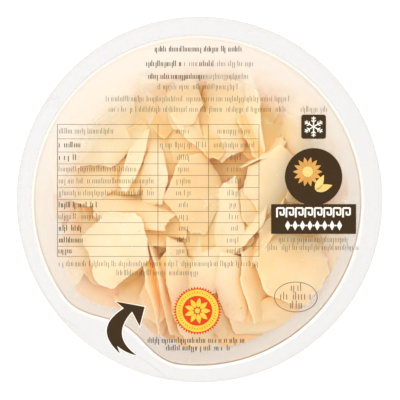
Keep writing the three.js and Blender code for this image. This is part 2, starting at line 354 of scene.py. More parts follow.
# Each row is one chip that shows through the film: where its middle is (x, y, z), the turn of its length,
# its length and width, its lean about its length, the rise of its far end, its curl, cup and taper, and its
# tone from pale to golden. A chip with a large lean stands on its edge.
top_chip_rows = (
    # Upper left
    (-36.8, 24.8, 20.5, 80, 28, 27, -3, 0, 0.5, -3.4, 0, 0.1),
    (-38.9, 9.4, 19, 5, 26, 17, -4, 0, -0.8, 0.5, 0.1, 0.2),
    (-23.3, 14.8, 21.2, 66, 23, 5.6, -20, -3, 1, 0.5, 0.2, 0),
    (-16.6, 8.7, 20, 88, 20, 10.5, -10, 2, -1, 1, 0.25, 0),
    (-17.6, 29.8, 19, 88, 22, 13, 6, 0, 0.5, -1, 0.1, 0.4),
    (-6.3, 21.2, 18.5, 70, 18, 16, -12, 4, 0.5, -1.5, 0.4, 0.6),
    (-2.3, 24.4, 20, 129, 19, 7.5, 34, 0, 0.8, 0.5, 0.1, 0.1),
    (-6.3, 34.3, 20.5, 95, 15, 14, -6, 4, 0.5, -1.5, 0, 0.2),
    (-23, 36.4, 18.5, 15, 24, 13, 2, 0, 1, -1, 0.1, 0.3),
    (-4.8, 43.9, 15.5, 5, 22, 11, 10, 0, 0.5, 0, 0, 0.9),
    # Upper right
    (10.4, 30, 20, 95, 27, 18, -8, 4, 0.8, -2.5, -0.1, 0.3),
    (18.3, 32.9, 22, 104, 30, 8, -45, 0, -1.5, 0, -0.3, 0),
    (24.3, 29, 18.5, 95, 27, 15, 12, -4, 0.5, 1.5, 0.1, 0.9),
    (24.3, 21, 19.5, 100, 14, 9, 12, 0, 0.5, 0, 0, 0.9),
    (22.5, 16.5, 19.5, 32, 16, 5, -62, 3, 0.5, 0, 0, 0.1),
    (38.9, 25.8, 20.5, 78, 27, 20, -6, 3, 1, -4, 0, 0),
    (26.6, 7, 21, 50, 24, 17, 6, 6, 0.5, -1.5, 0, 0.3),
    (41, 3.4, 16.5, 80, 25, 20, 0, 0, 0.5, -1.5, 0, 0.4),
    (17.5, -7.6, 18.5, 62, 24, 9, -40, 3, 1, 0, 0.1, 0.2),
    (22.2, -11.5, 17.5, 62, 24, 10, -50, 0, 0.5, 0.5, 0, 0.7),
    (9, 42.5, 15, 0, 20, 12, 6, 0, 0.5, -0.5, 0, 0.6),
    (28.6, 38.9, 15, -30, 18, 12, -6, 0, 0.5, -0.5, 0, 0.7),
    # Middle
    (-1.6, 2, 20.5, 97, 27, 19, 8, 5, -1, -2, -0.1, 0.6),
    (-12, -2.5, 16.5, 105, 22, 11, -28, -4, 1, 0.5, 0.1, 0.7),
    (10.4, -7.2, 19, 92, 25, 10, -10, 3, 0.5, -0.5, 0.1, 0),
    (-0.9, -15.4, 15.5, 92, 15, 9, -8, 0, 0, 0, 0, 0.9),
    (5.5, -14.4, 16.5, 85, 15, 9, 10, 0, 0, -0.5, 0, 0.7),
    # Lower left
    (-25.8, -4, 19.5, -10, 25, 11, -14, 0, 1, -1.5, 0, 0.3),
    (-17.6, -10, 17, -32, 23, 11, -38, -3, 1, 0, 0.1, 0.6),
    (-29.6, -17.9, 22, 75, 27, 20.5, -3, -2, 0.4, 0.4, -0.1, 0),
    (-44.3, -16.1, 16, 72, 21, 14, -18, -4, 0.5, 1, 0.1, 0.2),
    (-33.6, -32.8, 15.5, -18, 25, 11, -12, 0, 0.5, 0.5, 0, 0.8),
    (-15.8, -31.4, 18, 100, 31, 10, 60, 0, -2.5, 0, 0, 0.3),
    (-11.6, -32, 17.5, 104, 29, 10, 60, 0, -2, 0, 0, 0.4),
    (-7.3, -27.8, 19.5, 97, 22, 9, 30, 0, -1, -1, 0, 0.3),
    (-21.5, -36.7, 16, -12, 18, 9, -45, 0, 1.5, 0, 0, 0.6),
    # Lower right
    (3.7, -25, 18.5, 40, 19, 12, -12, 2, 0.3, -0.5, 0.2, 0),
    (12.6, -31.4, 19.5, 93, 20, 11, 8, 4, -0.5, -1.5, 0, 0.1),
    (20, -30.3, 19, 100, 21, 10, 38, 3, -0.5, 0, 0, 0.3),
    (33.2, -23.9, 21.5, 20, 26, 22, -6, -8, 0.5, -0.8, 0.1, 0.5),
    (25.7, -10, 20.5, 30, 10, 6, 10, 0, 0, 0, 0, 0.4),
    (46.3, -17.9, 17.5, 75, 20, 13, -8, 0, 0.5, 0.5, 0, 0.1),
    (29.6, -41.3, 16.5, 14, 36, 10, 12, -2, 1, 0, 0.1, 0.4),
    (9.4, -42, 15.5, 60, 14, 10, 10, 0, 0, -0.5, 0, 0.5),
    (-2.3, -40.3, 18, 100, 23, 13, 14, 0, -1, -1, 0, 0.3),
    (10.8, -47.7, 14, -6, 24, 10, -10, 0, 0.5, 0, 0, 0.9),
)
chip_words = ("x", "y", "z", "turn", "length", "width", "lean", "rise", "curl", "cup", "taper", "tone")


def cavity_radius(height):
    """Radius of the cavity's wall at a height."""
    below = np.clip(base_centre[1] - height, 0, base_bend)
    bend = base_centre[0] + np.sqrt(base_bend ** 2 - below ** 2)
    slope = base_centre[0] + base_bend / math.cos(draft) + (height - base_centre[1]) * math.tan(draft)
    return np.where(height < base_centre[1], bend, slope)


def pressed_in(points, margin):
    """Presses points into the space that is at least a margin away from the tub and the film."""
    level = np.clip(points[:, 2], wall + floor_rise + margin, flange_top - margin)
    flat = points[:, :2] - cavity_shift
    radius = np.hypot(flat[:, 0], flat[:, 1])
    limit = cavity_radius(level) - peel_step(np.arctan2(flat[:, 1], flat[:, 0])) - margin / math.cos(draft)
    share = np.where(radius > limit, limit / np.maximum(radius, 1e-6), 1)
    return np.column_stack([flat * share[:, None] + cavity_shift, level])


def spread(count, step):
    """A number from 0 to 1 that spreads evenly as the count goes up. Each use has a step of its own."""
    return (count * step) % 1


def around(radius, azimuth):
    """A point at a radius and an azimuth in degrees."""
    angle = math.radians(azimuth)
    return {"x": radius * math.cos(angle), "y": radius * math.sin(angle)}


def chips_on_wall():
    """Chips that stand against the wall, all the way round."""
    chips = []
    for count in range(wall_chips):
        azimuth = 360 * count / wall_chips + 14 * (spread(count, 0.618) - 0.5)
        height = 5 + 3 * spread(count, 0.38)
        chips.append({
            **around(float(cavity_radius(height)) - wall_chip_inset, azimuth),
            "z": height,
            "turn": azimuth + 90,
            "length": 18 + 6 * spread(count, 0.71),
            "width": 8 + 3 * spread(count, 0.27),
            "lean": wall_chip_lean,
            "rise": 16 * (spread(count, 0.53) - 0.5),
            "curl": 0,
            "cup": 0,
            "taper": 0.2 * (spread(count, 0.44) - 0.5),
            "tone": 0.3 + 0.4 * spread(count, 0.35),
        })
    return chips


def chips_loose(total, inner, outer, height, slope, first):
    """Chips that lie loosely at every turn, spread over a ring or a disc by the golden angle."""
    chips = []
    for count in range(total):
        radius = math.sqrt(inner ** 2 + (outer ** 2 - inner ** 2) * (count + 0.4) / total)
        chips.append({
            **around(radius, golden_angle * (count + first)),
            "z": height,
            "turn": 360 * spread(count + first, 0.618),
            "length": 20 + 8 * spread(count, 0.71),
            "width": 13 + 6 * spread(count, 0.27),
            "lean": slope * (spread(count, 0.38) - 0.5),
            "rise": slope * (spread(count, 0.53) - 0.5),
            "curl": 1.2,
            "cup": -0.8,
            "taper": 0.1,
            # Below the top chips the tone leans golden: partly painted shade for the gaps they show through,
            # with a random spread
            "tone": 0.6 + 0.5 * spread(count, 0.35),
        })
    return chips


def zigzag(turns):
    """A wave of straight slopes between -1 and 1, once a turn."""
    return 4 * np.abs(np.mod(turns, 1) - 0.5) - 1


def chip_reach(angle, number):
    """How far a chip reaches at an angle, about 1. It has six sides, and some of them are torn."""
    pull = np.zeros_like(angle)
    for side in range(chip_breaks):
        draw = number * chip_breaks + side
        aim = 2 * math.pi * (side + 0.5 * (spread(draw, 0.618) - 0.5)) / chip_breaks
        depth = 0.84 + 0.2 * spread(draw, 0.377)
        pull += np.clip(np.cos(angle - aim) / depth, 0, None) ** chip_corner
    torn = chip_torn_least + (1 - chip_torn_least) * np.cos(angle / 2 + number) ** 2
    broken = sum(size * zigzag(waves * angle / math.pi + drift * number) for size, waves, drift in chip_tears)
    return pull ** (-1 / chip_corner) * (1 + torn * broken)


def chip_points(chip, number, rings, sides):
    """A chip's points, and for each its place on the pattern of the cheese and how near it is to the edge."""
    rims = [*rings, 1.0, *rings[::-1]]
    faces_up = [1.0] * len(rings) + [0.0] + [-1.0] * len(rings)
    angles = np.linspace(0, 2 * math.pi, sides, endpoint=False)
    ring = np.concatenate([[rims[0]], np.repeat(rims[1:-1], sides), [rims[-1]]])
    side = np.concatenate([[1.0], np.repeat(faces_up[1:-1], sides), [-1.0]])
    angle = np.concatenate([[0.0], np.tile(angles, len(rims) - 2), [0.0]])
    reach = ring * chip_reach(angle, number)
    along = reach * np.cos(angle)
    across = reach * np.sin(angle) * (1 - chip["taper"] * along)
    bent = chip["curl"] * (along ** 2 - 0.33) + chip["cup"] * (across ** 2 - 0.33)
    bent += chip_twist * (2 * spread(number, 0.47) - 1) * along * across - chip_droop * ring ** 3
    # Soft waves with finer ones over them, which lie otherwise on every chip
    ripple = chip_ripple * np.sin(2.9 * along + 1.3 * number) * np.sin(2.3 * across + 2.1 * number)
    ripple += chip_fine_ripple * np.sin(9.1 * along - 5.3 * across + number)
    thin = 1 - chip_thinning * ring ** 8 + chip_unevenness * np.sin(2 * angle + number) * ring
    half = 0.5 * chip_thickness * thin
    long_side, wide_side = along * chip["length"] / 2, across * chip["width"] / 2
    place = (
        Matrix.Rotation(math.radians(chip["turn"]), 3, "Z")
        @ Matrix.Rotation(math.radians(-chip["rise"]), 3, "Y")
        @ Matrix.Rotation(math.radians(chip["lean"]), 3, "X")
    )
    turn = np.array(place).T
    middle = np.stack([long_side, wide_side, bent + ripple], axis=1) @ turn
    middle += np.array((chip["x"], chip["y"], chip["z"]))
    raised = np.stack([np.zeros_like(half), np.zeros_like(half), side * half], axis=1) @ turn
    pressed = pressed_in(middle, wall_gap + chip_thickness / 2) + raised
    flat = np.stack([long_side, wide_side + pattern_step * number, np.zeros_like(half)], axis=1)
    return pressed_in(pressed, wall_gap), flat, ring


def aged_cheese():
    """Aged hard cheese, planed: waxy, warm and a little see-through, with plane marks and a crumbly rim.
    Its patterns follow each chip, in millimetres. Where other chips close in on it, its colour is painted
    golden: painted shade for the deep gaps between chips.
    """
    material, tree, shader = start_material("aged_hard_cheese", {
        "Roughness": 0.5,
        "IOR": 1.45,
        "Specular IOR Level": 0.3,
        "Subsurface Weight": 0.8,
        "Subsurface Radius": (1.0, 0.85, 0.7),
        "Subsurface Scale": 0.9 * millimetre,
    })
    flat = add_node(tree, "ShaderNodeAttribute", attribute_name="chip_flat")
    look = add_node(tree, "ShaderNodeAttribute", attribute_name="chip_look")
    split = add_node(tree, "ShaderNodeSeparateXYZ", {"Vector": look.outputs["Vector"]})
    cloud = add_node(tree, "ShaderNodeTexNoise", {
        "Vector": flat.outputs["Vector"],
        "Scale": 1 / 10,
        "Detail": 3.0,
    })
    tone = add_node(tree, "ShaderNodeMath", {0: cloud.outputs["Fac"], 1: split.outputs["X"]}, operation="ADD")
    level = add_node(tree, "ShaderNodeMapRange", {
        "Value": tone.outputs["Value"],
        "From Min": 0.45,
        "From Max": 1.5,
    })
    body = add_node(tree, "ShaderNodeMix", {
        "Factor": level.outputs["Result"],
        "A": linear("#fbebcf"),
        "B": linear("#f3d194"),
    }, data_type="RGBA")
    # Each chip is paler towards its edge
    rim = add_node(tree, "ShaderNodeMapRange", {
        "Value": split.outputs["Y"],
        "From Min": 0.9,
        "From Max": 1.0,
        "To Max": 0.3,
    })
    paled_rim = add_node(tree, "ShaderNodeMix", {
        "Factor": rim.outputs["Result"],
        "A": body.outputs["Result"],
        "B": linear("#fff6e2"),
    }, data_type="RGBA")
    cells = add_node(tree, "ShaderNodeTexVoronoi", {"Vector": flat.outputs["Vector"], "Scale": 1 / 3.2})
    crystal = add_node(tree, "ShaderNodeMapRange", {
        "Value": cells.outputs["Distance"],
        "From Min": 0.10,
        "From Max": 0.06,
        "To Max": 0.85,
    })
    colour = add_node(tree, "ShaderNodeMix", {
        "Factor": crystal.outputs["Result"],
        "A": paled_rim.outputs["Result"],
        "B": linear("#fffaf0"),
    }, data_type="RGBA")
    # Painted shade: the colour turns golden where other chips close in, standing for the light that fills the
    # gaps between them
    painted_gap_occlusion = add_node(tree, "ShaderNodeAmbientOcclusion", {
        "Distance": 16 * millimetre,
    }, samples=6, only_local=True)
    depth = add_node(tree, "ShaderNodeMapRange", {
        "Value": painted_gap_occlusion.outputs["AO"],
        "From Min": 0.95,
        "From Max": 0.4,
    })
    painted_gap_gold = add_node(tree, "ShaderNodeMix", {
        "Factor": depth.outputs["Result"],
        "A": colour.outputs["Result"],
        "B": linear("#fdd88c"),
    }, data_type="RGBA")
    tree.links.new(painted_gap_gold.outputs["Result"], shader.inputs["Base Color"])
    drag = add_node(tree, "ShaderNodeVectorMath", {
        0: flat.outputs["Vector"],
        1: (0.12, 1.6, 1.0),
    }, operation="MULTIPLY")
    marks = add_node(tree, "ShaderNodeTexNoise", {
        "Vector": drag.outputs["Vector"],
        "Scale": 1.0,
        "Detail": 3.0,
    })
    grain = add_node(tree, "ShaderNodeTexNoise", {
        "Vector": flat.outputs["Vector"],
        "Scale": 1.4,
        "Detail": 4.0,
    })
    relief = add_node(tree, "ShaderNodeMath", {
        0: grain.outputs["Fac"],
        1: 0.6,
        2: marks.outputs["Fac"],
    }, operation="MULTIPLY_ADD")
    bump = add_node(tree, "ShaderNodeBump", {
        "Strength": 0.3,
        "Distance": 0.25 * millimetre,
        "Height": relief.outputs["Value"],
    })
    tree.links.new(bump.outputs["Normal"], shader.inputs["Normal"])
    return material


top_chips = [dict(zip(chip_words, row)) for row in top_chip_rows]
for chip in top_chips:
    growth = deep_growth if chip["z"] < deep_level else high_growth
    chip["length"] *= growth
    chip["width"] *= growth
low_chips = chips_loose(floor_chips, inner=0, outer=42, height=floor_height, slope=8, first=0)
low_chips += chips_on_wall()
for layer, height in enumerate(rim_heights):
    low_chips += chips_loose(rim_chips, inner=30, outer=46, height=height, slope=22, first=5 * layer + 3)
for layer, height in enumerate(inner_heights):
    for chip in chips_loose(inner_chips, inner=0, outer=44, height=height, slope=18, first=7 * layer + 1):
        nearest = min(math.hypot(chip["x"] - x, chip["y"] - y) for x, y in hollows)
        chip["z"] -= hollow_depth * max(0, 1 - (nearest / hollow_reach) ** 2)
        low_chips.append(chip)
heap_parts, heap_flat, heap_look = [], [], []
for number, chip in enumerate(low_chips + top_chips):
    on_top = number >= len(low_chips)
    rings, sides = (top_rings, top_sides) if on_top else (low_rings, low_sides)
    points, flat, edge = chip_points(chip, number, rings, sides)
    faces = [face[::-1] for face in shell_faces(2 * len(rings) + 1, sides)]
    heap_parts.append((points, faces, 0))
    heap_flat.append(flat)
    heap_look.append(np.stack([np.full_like(edge, chip["tone"]), edge, np.zeros_like(edge)], axis=1))


def joined_chips(name, parts, attributes, material):
    """One mesh in which chips that touch are joined, so that light passes from one into the next."""
    others = bpy.data.collections.new("other_chips")
    chip_objects = []
    for number, (points, faces, _) in enumerate(parts):
        mesh = bpy.data.meshes.new("chip")
        mesh.from_pydata((points * millimetre).tolist(), [], faces)
        mesh.materials.append(material)
        for attribute_name, values in attributes.items():
            attribute = mesh.attributes.new(attribute_name, "FLOAT_VECTOR", "POINT")
            attribute.data.foreach_set("vector", values[number].ravel())
        chip_objects.append(bpy.data.objects.new("chip", mesh))
    scene.collection.objects.link(chip_objects[0])
    scene.collection.children.link(others)
    for chip_object in chip_objects[1:]:
        others.objects.link(chip_object)
    join = chip_objects[0].modifiers.new("join", "BOOLEAN")
    join.operation = "UNION"
    join.operand_type = "COLLECTION"
    join.collection = others
    join.solver = "MANIFOLD"
    joined = chip_objects[0].evaluated_get(bpy.context.evaluated_depsgraph_get())
    mesh = bpy.data.meshes.new_from_object(joined)
    mesh.name = name
    for chip_object in chip_objects:
        bpy.data.objects.remove(chip_object)
    bpy.data.collections.remove(others)
    return mesh


heap_attributes = {"chip_flat": heap_flat, "chip_look": heap_look}
heap_mesh = joined_chips("shavings_heap", heap_parts, heap_attributes, aged_cheese())
heap_mesh.polygons.foreach_set("use_smooth", [True] * len(heap_mesh.polygons))
heap_mesh.set_sharp_from_angle(angle=sharp_edge_angle)
shavings = bpy.data.objects.new("shavings_heap", heap_mesh)
scene.collection.objects.link(shavings)
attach(shavings, "root")
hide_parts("shavings")


# Crumbs
# Crumbs that broke off the shavings as they were planed and tipped in. They lie loose on the heap.
crumb_largest = 1.5
crumb_smallest = 0.35
crumb_rarity = 3.0
crumb_lowest = 15.5
# How many there are to a square millimetre, and how level a face has to be to hold one, 1 being level
crumb_density = 0.013
crumb_levelness = 0.75


def start_growth(name, sizes):
    """A geometry tree with a named input for each size. Returns the tree and its input node."""
    tree = bpy.data.node_groups.new(name, "GeometryNodeTree")
    tree.interface.new_socket("Geometry", in_out="INPUT", socket_type="NodeSocketGeometry")
    tree.interface.new_socket("Geometry", in_out="OUTPUT", socket_type="NodeSocketGeometry")
    for size_name in sizes:
        tree.interface.new_socket(size_name, in_out="INPUT", socket_type="NodeSocketFloat")
    return tree, add_node(tree, "NodeGroupInput")


def end_growth(tree, grown, material):
    """Ends a geometry tree: its instances are made real and get their material."""
    real = add_node(tree, "GeometryNodeRealizeInstances", {"Geometry": grown})
    painted = add_node(tree, "GeometryNodeSetMaterial", {
        "Geometry": real.outputs["Geometry"],
        "Material": material,
    })
    add_node(tree, "NodeGroupOutput", {"Geometry": painted.outputs["Geometry"]})


def grown_piece(name, guide, tree, sizes):
    """A piece that a geometry tree grows on a guide mesh, as a plain mesh that rides on the pack."""
    holder = bpy.data.objects.new(name + "_guide", guide)
    scene.collection.objects.link(holder)
    modifier = holder.modifiers.new("grow", "NODES")
    modifier.node_group = tree
    for socket in tree.interface.items_tree:
        if socket.name in sizes:
            modifier[socket.identifier] = float(sizes[socket.name])
    grown = holder.evaluated_get(bpy.context.evaluated_depsgraph_get())
    mesh = bpy.data.meshes.new_from_object(grown)
    mesh.name = name
    bpy.data.objects.remove(holder)
    piece = bpy.data.objects.new(name, mesh)
    scene.collection.objects.link(piece)
    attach(piece, "root")
    return piece


def grow_crumbs(material):
    """A tree that scatters small angular grains over the upper faces of the heap."""
    tree, given = start_growth("crumbs", ("Density", "Smallest", "Largest", "Lowest"))
    normal = add_node(tree, "GeometryNodeInputNormal")
    facing = add_node(tree, "ShaderNodeSeparateXYZ", {"Vector": normal.outputs["Normal"]})
    upward = add_node(tree, "ShaderNodeMath", {
        0: facing.outputs["Z"],
        1: crumb_levelness,
    }, operation="GREATER_THAN")
    place = add_node(tree, "GeometryNodeInputPosition")
    height = add_node(tree, "ShaderNodeSeparateXYZ", {"Vector": place.outputs["Position"]})
    high = add_node(tree, "ShaderNodeMath", {
        0: height.outputs["Z"],
        1: given.outputs["Lowest"],
    }, operation="GREATER_THAN")
    chosen = add_node(tree, "ShaderNodeMath", {
        0: upward.outputs[0],
        1: high.outputs[0],
    }, operation="MULTIPLY")
    dots = add_node(tree, "GeometryNodeDistributePointsOnFaces", {
        "Mesh": given.outputs["Geometry"],
        "Selection": chosen.outputs[0],
        "Density": given.outputs["Density"],
        "Seed": 4,
    })
    grain = add_node(tree, "GeometryNodeMeshIcoSphere", {"Radius": 0.5, "Subdivisions": 1})
    turn = add_node(tree, "FunctionNodeRandomValue", {
        0: (0, 0, 0),
        1: (6.3, 6.3, 6.3),
        "Seed": 2,
    }, data_type="FLOAT_VECTOR")
    draw = add_node(tree, "FunctionNodeRandomValue", {2: 0.0, 3: 1.0, "Seed": 7}, data_type="FLOAT")
    rare = add_node(tree, "ShaderNodeMath", {0: draw.outputs[1], 1: crumb_rarity}, operation="POWER")
    size = add_node(tree, "ShaderNodeMapRange", {
        "Value": rare.outputs[0],
        "To Min": given.outputs["Smallest"],
        "To Max": given.outputs["Largest"],
    })
    shape = add_node(tree, "FunctionNodeRandomValue", {
        0: (1.0, 0.6, 0.4),
        1: (1.3, 1.0, 0.8),
        "Seed": 6,
    }, data_type="FLOAT_VECTOR")
    scale = add_node(tree, "ShaderNodeVectorMath", {
        0: shape.outputs[0],
        "Scale": size.outputs["Result"],
    }, operation="SCALE")
    grains = add_node(tree, "GeometryNodeInstanceOnPoints", {
        "Points": dots.outputs["Points"],
        "Instance": grain.outputs["Mesh"],
        "Rotation": turn.outputs[0],
        "Scale": scale.outputs["Vector"],
    })
    end_growth(tree, grains.outputs["Instances"], material)
    return tree


def make_cloudy(tree, shader, first_hex, second_hex, size, detail):
    """Colours a material in soft clouds of two colours, of a size in millimetres."""
    place = add_node(tree, "ShaderNodeTexCoord")
    cloud = add_node(tree, "ShaderNodeTexNoise", {
        "Vector": place.outputs["Object"],
        "Scale": 1 / (size * millimetre),
        "Detail": detail,
    })
    colour = add_node(tree, "ShaderNodeMix", {
        "Factor": cloud.outputs["Fac"],
        "A": linear(first_hex),
        "B": linear(second_hex),
    }, data_type="RGBA")
    tree.links.new(colour.outputs["Result"], shader.inputs["Base Color"])


def crumb_cheese():
    """Crumbs of the same cheese, paler where they have dried."""
    material, tree, shader = start_material("dry_cheese_crumb", {"Roughness": 0.65, "IOR": 1.45})
    make_cloudy(tree, shader, "#ffe9c4", "#f9d093", size=2.5, detail=2.0)
    return material


grown_piece("crumbs", heap_mesh, grow_crumbs(crumb_cheese()), {
    "Density": crumb_density / millimetre ** 2,
    "Smallest": crumb_smallest * millimetre,
    "Largest": crumb_largest * millimetre,
    "Lowest": crumb_lowest * millimetre,
})


# Film
# The lid is a clear laminate, welded hot to the flange and drawn tight over the cheese. It has a thin milky
# veil, thicker towards the wall, and the weld has matted it to a cool white. The veil is thickest at the top,
# towards the lamp: painted light that brightens that side.
print_room = 0.08
weld_gap = 0.02
film_inset = 0.05
film_top = film_box_high.z / millimetre - print_room
film_bottom = flange_top + weld_gap
film_sag = 0.12
film_sides = 240
film_radii = (0, 8, 16, 24, 32, 38, 42, 46, 50, 54, 57, 58.2, 59, 59.6, 62.5, flange_radius - film_inset)

# The veil starts and is full at these radii, give or take its unevenness. By its tilt in x and y it starts
# nearer to the middle at the top, towards the lamp, and is thickest there: painted light for that side.
haze_start = 40
haze_end = 54
haze_unevenness = 9
painted_light_haze_tilt = (-0.015, 0.05)
haze_in_middle = 0.015
haze_thinnest = 0.08
haze_thickest = 0.66
weld_start = 58.8
weld_blend = 0.8
weld_veil = 0.15


def film_drop(x, y):
    """How far the film hangs below its level at the flange."""
    return film_sag * np.clip(1 - (x ** 2 + y ** 2) / mouth_radius ** 2, 0, 1)


def lid_film():
    """Clear lidding laminate: glossy, milky towards the wall and most of all towards the lamp, as painted
    light, and matted by the hot tool on the flange.
    """
    material, tree, shader = start_material("clear_lidding_laminate", {"Roughness": 0.16, "IOR": 1.5})
    place = add_node(tree, "ShaderNodeTexCoord")
    reach = add_node(tree, "ShaderNodeAttribute", attribute_name="film_reach")
    cloud = add_node(tree, "ShaderNodeTexNoise", {
        "Vector": place.outputs["Object"],
        "Scale": 1 / (14 * millimetre),
        "Detail": 3.0,
    })
    uneven = add_node(tree, "ShaderNodeMath", {
        0: cloud.outputs["Fac"],
        1: haze_unevenness,
        2: reach.outputs["Fac"],
    }, operation="MULTIPLY_ADD")
    # Painted light: the veil reaches further in and grows thicker towards the lamp, at the top, so that side
    # is brighter
    painted_light_tilt = add_node(tree, "ShaderNodeVectorMath", {
        0: place.outputs["Object"],
        1: (painted_light_haze_tilt[0] / millimetre, painted_light_haze_tilt[1] / millimetre, 0),
    }, operation="DOT_PRODUCT")
    leaned = add_node(tree, "ShaderNodeMath", {0: uneven.outputs["Value"], 1: painted_light_tilt.outputs["Value"]})
    painted_light_thickness = add_node(tree, "ShaderNodeMapRange", {
        "Value": painted_light_tilt.outputs["Value"],
        "From Min": -math.hypot(*painted_light_haze_tilt) * mouth_radius,
        "From Max": math.hypot(*painted_light_haze_tilt) * mouth_radius,
        "To Min": haze_thinnest,
        "To Max": haze_thickest,
    })
    haze = add_node(tree, "ShaderNodeMapRange", {
        "Value": leaned.outputs["Value"],
        "From Min": haze_start + haze_unevenness / 2,
        "From Max": haze_end + haze_unevenness / 2,
        "To Min": haze_in_middle,
        "To Max": painted_light_thickness.outputs["Result"],
    }, interpolation_type="SMOOTHSTEP")
    welded = add_node(tree, "ShaderNodeMapRange", {
        "Value": reach.outputs["Fac"],
        "From Min": weld_start,
        "From Max": weld_start + weld_blend,
    })
    veil = add_node(tree, "ShaderNodeMix", {
        "Factor": welded.outputs["Result"],
        "A": haze.outputs["Result"],
        "B": weld_veil,
    }, data_type="FLOAT")
    tree.links.new(veil.outputs["Result"], shader.inputs["Alpha"])
    colour = add_node(tree, "ShaderNodeMix", {
        "Factor": welded.outputs["Result"],
        "A": linear("#f8f6f3"),
        "B": linear("#b0b6bc"),
    }, data_type="RGBA")
    tree.links.new(colour.outputs["Result"], shader.inputs["Base Color"])
    make_uneven(tree, shader, size=22, detail=1.0, strength=0.2, depth=0.6)
    return material


film_profile = [(radius, film_bottom) for radius in film_radii]
film_profile += [(radius, film_top) for radius in film_radii[::-1]]
flat_film = turned(film_profile, film_sides)
film_points = follow_peel(flat_film)
film_points[:, 2] -= film_drop(film_points[:, 0], film_points[:, 1])
film_faces = [face[::-1] for face in shell_faces(len(film_profile), film_sides)]
film = make_piece("lid_film", [(film_points, film_faces, 0)], [lid_film()])
film_reach = film.data.attributes.new("film_reach", "FLOAT", "POINT")
film_reach.data.foreach_set("value", np.hypot(flat_film[:, 0], flat_film[:, 1]))
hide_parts("film")


# Weld bead
# Sealing lacquer that the hot tool squeezed into the wedge between the film and the tub's mouth. It shows as
# a thin tan line all the way round, with a gleam on the side towards the light. Its tan is a painted
# reflection of the cheese in the tub's mouth bend; the gleam is the lamp's own.
bead_reach = 57.95
bead_height = flange_top - 0.3
bead_radius = 0.28
bead_points = 300
bead_sides = 10


def guide_lines(name, lines, attributes=None):
    """A mesh of lines of points in millimetres. An attribute has a value at each point."""
    points, edges = [], []
    for line in lines:
        edges += [(len(points) + at, len(points) + at + 1) for at in range(len(line) - 1)]
        points += [tuple(coordinate * millimetre for coordinate in point) for point in line]
    guide = bpy.data.meshes.new(name + "_lines")
    guide.from_pydata(points, edges, [])
    for attribute_name, values in (attributes or {}).items():
        attribute = guide.attributes.new(attribute_name, "FLOAT", "POINT")
        attribute.data.foreach_set("value", values)
    return guide


def grow_bead(material):
    """A tree that sweeps a round section along lines."""
    tree, given = start_growth("weld_bead", ("Bead radius",))
    curve = add_node(tree, "GeometryNodeMeshToCurve", {"Mesh": given.outputs["Geometry"]})
    section = add_node(tree, "GeometryNodeCurvePrimitiveCircle", {
        "Resolution": bead_sides,
        "Radius": given.outputs["Bead radius"],
    })
    swept = add_node(tree, "GeometryNodeCurveToMesh", {
        "Curve": curve.outputs["Curve"],
        "Profile Curve": section.outputs["Curve"],
    })
    smooth = add_node(tree, "GeometryNodeSetShadeSmooth", {"Geometry": swept.outputs["Mesh"]})
    end_growth(tree, smooth.outputs["Geometry"], material)
    return tree


def lacquer_painted_reflection():
    """Heat-seal lacquer: glossy, and tan as a painted reflection of the cheese in the tub's mouth bend."""
    material, tree, shader = start_material("seal_lacquer_painted_reflection", {"Roughness": 0.18, "IOR": 1.5})
    # Painted reflection: the tan stands for the cheese seen in the tub's mouth bend
    make_cloudy(tree, shader, "#94724c", "#bc9a70", size=6, detail=2.0)
    return material


bead_angles = np.linspace(0, 2 * math.pi, bead_points)
bead_flat = np.stack([
    bead_reach * np.cos(bead_angles),
    bead_reach * np.sin(bead_angles),
    np.full(bead_points, bead_height),
], axis=1)
bead_guide = guide_lines("weld_bead", [follow_peel(bead_flat)])
bead_sizes = {"Bead radius": bead_radius * millimetre}
grown_piece("weld_bead", bead_guide, grow_bead(lacquer_painted_reflection()), bead_sizes)


# Weld creases
# Where the film was not quite flat under the hot tool, it has set in small folds across the flange. Each row
# is one fold: the x and y of its start and of its end.
crease_radius = 0.09
crease_rows = (
    (-21.7, -55.9, -11.2, -63.7),
    (-49.2, -42.1, -42.5, -46.3),
    (-54.9, 34.3, -49.6, 36.4),
    (16.1, 59.2, 22.2, 61.0),
)
crease_bow = 0.35
crease_points = 12


def crease_line(row):
    """Points along a fold, which bows a little to one side and lies in the film's upper face."""
    start, end = np.array(row[:2]), np.array(row[2:])
    side = np.array((start[1] - end[1], end[0] - start[0])) / np.hypot(*(end - start))
    line = []
    for share in np.linspace(0, 1, crease_points):
        x, y = start + (end - start) * share + side * crease_bow * math.sin(math.pi * share)
        line.append((x, y, film_top - film_drop(x, y) - crease_radius / 3))
    return line


def crease_painted_shade():
    """The lid's laminate along a fold: greyer than the flat weld, as painted shade of the fold, and glossy.
    """
    material, tree, shader = start_material("crease_laminate_painted_shade", {"Roughness": 0.2, "IOR": 1.5})
    # Painted shade: each fold is drawn as a grey line
    make_cloudy(tree, shader, "#c4c8cc", "#eceeef", size=3, detail=1.0)
    return material


crease_guide = guide_lines("weld_creases", [crease_line(row) for row in crease_rows])
crease_sizes = {"Bead radius": crease_radius * millimetre}
grown_piece("weld_creases", crease_guide, grow_bead(crease_painted_shade()), crease_sizes)


# Print
# The laminate is gravure-printed with dark brown ink before it is cut. The rows of text are plain ticks that
# can't be read, and the pictures are generic: a snow crystal, a gold flower, a key border and a daisy seal.
ink_gap = 0.012
ink_step = 0.014
ink_thickness = 0.010
fine_stroke = 0.15
bold_stroke = 0.27
text_height = 1.4
text_pitch = 0.62
text_gaps = 0.13
text_step = 5
rule_width = 0.13
frame_width = 0.17
cell_margin = 0.6

# A tick's random draw goes from 0 to 1. Above the first of these values it is longer at its top, and above
# the second at its foot instead, by a share of its height. It also sways sideways by a share of the pitch.
tall_above = 0.64
low_above = 0.86
tall_share = 0.45
tick_sway = 0.22

